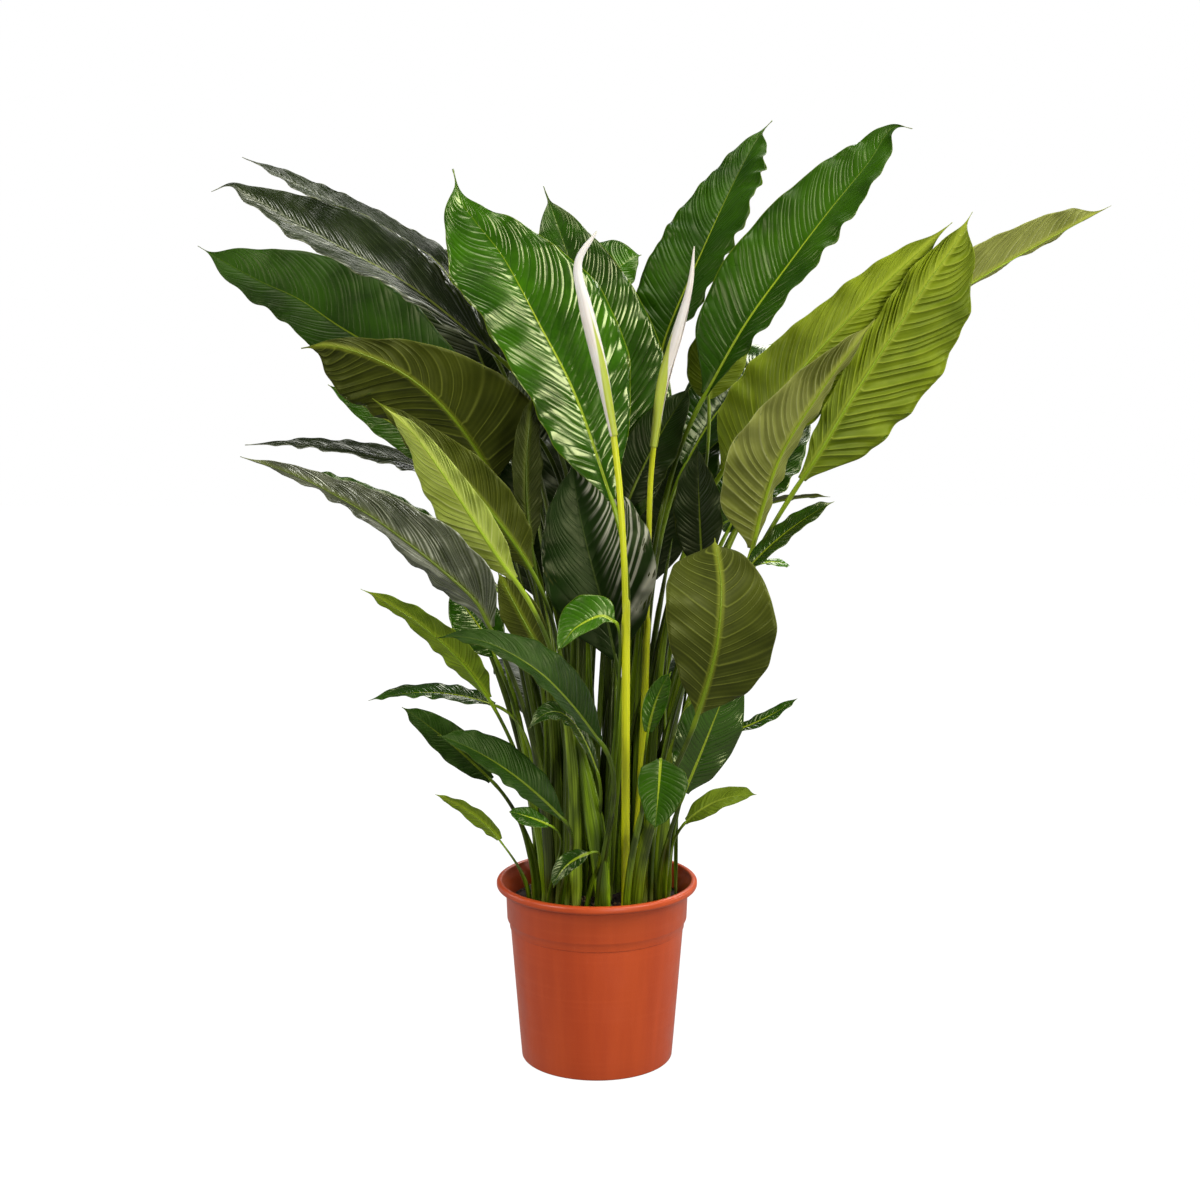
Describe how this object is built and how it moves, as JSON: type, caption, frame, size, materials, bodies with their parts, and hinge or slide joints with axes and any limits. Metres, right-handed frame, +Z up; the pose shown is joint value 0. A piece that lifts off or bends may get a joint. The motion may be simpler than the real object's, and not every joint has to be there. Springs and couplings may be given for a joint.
{
  "type": "potted peace lily",
  "caption": "Leafy peace lily with rolled white flowers, growing in a round terracotta-coloured plastic nursery pot that stands on its base.",
  "frame": {"origin": "centre of the pot's flat base, on the surface that it stands on", "axes": "+Z up through the pot's axis; -Y is the plant's front, the side that the picture shows; +X is to the right seen from the front"},
  "size_m": [1.0889, 0.6456, 1.1266],
  "materials": {
    "pot": "moulded terracotta-coloured polypropylene with a soft sheen and fine scuffs",
    "soil": "dark moist peat mix with bark and fibre crumbs",
    "leaf": "glossy dark green above, paler and more matt below, with sunken side veins and a light midrib",
    "stalk": "smooth pale yellow-green stalk with a fine lengthwise grain",
    "spathe": "soft white bract with a faint cream and pink tint and a green back rib",
    "spadix": "cream spike covered in fine bumps"
  },
  "bodies": {
    "root": {"pot": "pot", "potting_soil": "soil", "leaf_front_main": "leaf", "leaf_centre_back": "leaf", "leaf_centre_tip": "leaf", "leaf_crown_right": "leaf", "leaf_high_right": "leaf", "leaf_inner_right": "leaf", "leaf_right_olive": "leaf", "leaf_far_right": "leaf", "leaf_right_bright": "leaf", "leaf_right_fold": "leaf", "leaf_right_dark": "leaf", "leaf_right_thin": "leaf", "leaf_front_round": "leaf", "leaf_centre_dark": "leaf", "leaf_stalk_leaf": "leaf", "leaf_left_cross": "leaf", "leaf_left_low_fold": "leaf", "leaf_left_flat": "leaf", "leaf_left_low": "leaf", "leaf_left_front_low": "leaf", "leaf_pot_leaf": "leaf", "leaf_hanging_leaf": "leaf", "leaf_right_low_dark": "leaf", "leaf_right_low_thin": "leaf", "leaf_right_low": "leaf", "leaf_centre_arch": "leaf", "leaf_left_under": "leaf", "leaf_left_behind": "leaf", "leaf_left_narrow": "leaf", "leaf_left_long": "leaf", "leaf_left_bright": "leaf", "leaf_front_left": "leaf", "leaf_left_olive": "leaf", "leaf_edge_leaf": "leaf", "leaf_far_left": "leaf", "leaf_high_left": "leaf", "leaf_high_left_back": "leaf", "leaf_left_shade": "leaf", "leaf_inner_dark": "leaf", "leaf_inner_fold": "leaf", "leaf_left_inner_pale": "leaf", "leaf_left_inner_green": "leaf", "leaf_left_edge_dark": "leaf", "leaf_back_crown": "leaf", "leaf_back_high_right": "leaf", "leaf_back_high_left": "leaf", "leaf_back_right": "leaf", "leaf_back_left": "leaf", "leaf_back_low_right": "leaf", "leaf_back_low_left": "leaf", "leaf_back_centre": "leaf", "leaf_back_side_right": "leaf", "flower_front_stalk": "stalk", "flower_front_spathe": "spathe", "flower_front_spadix": "spadix", "flower_right_stalk": "stalk", "flower_right_spathe": "spathe", "flower_right_spadix": "spadix"}
  },
  "joints": []
}
